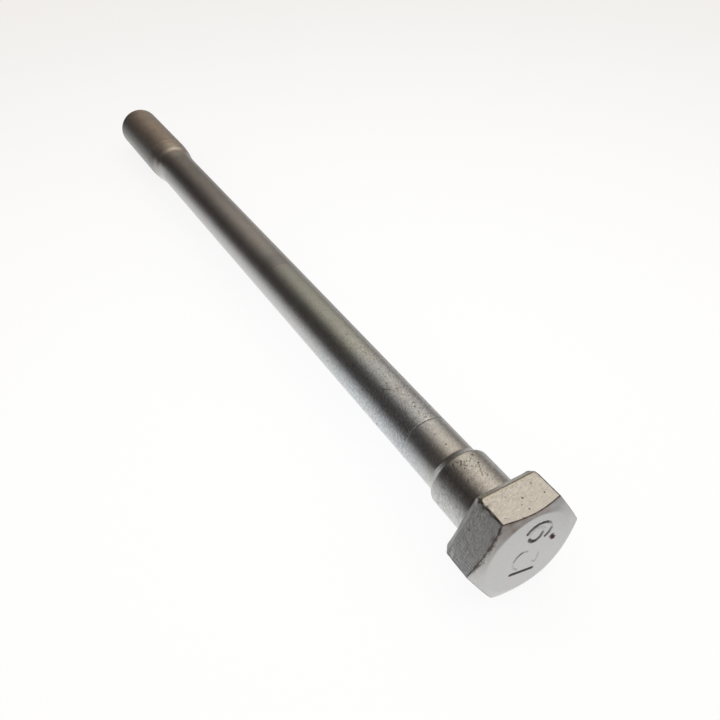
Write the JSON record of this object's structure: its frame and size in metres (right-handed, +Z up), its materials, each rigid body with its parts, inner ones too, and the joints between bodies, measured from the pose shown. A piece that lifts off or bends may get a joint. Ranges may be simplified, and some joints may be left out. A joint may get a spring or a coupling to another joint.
{
  "type": "hexagon-head bolt with a fitted collar and a reduced shank",
  "caption": "Long one-piece steel bolt: chamfered hexagon head, short fitted collar, slimmer shank and a thicker far end; it carries no flange.",
  "frame": {"origin": "on the surface that the bolt rests on, under the middle of its outline", "axes": "+Z up, +X along the bolt from the head to the thick end, which points down by 1.07 degrees because the bolt rests on a flat of its head and on the rim of its far end, +Y to the left of that"},
  "size_m": [0.1956, 0.022, 0.0191],
  "materials": {
    "steel": "satin bare steel, lightly pitted"
  },
  "bodies": {
    "root": {"hex_bolt": "steel"}
  },
  "joints": []
}
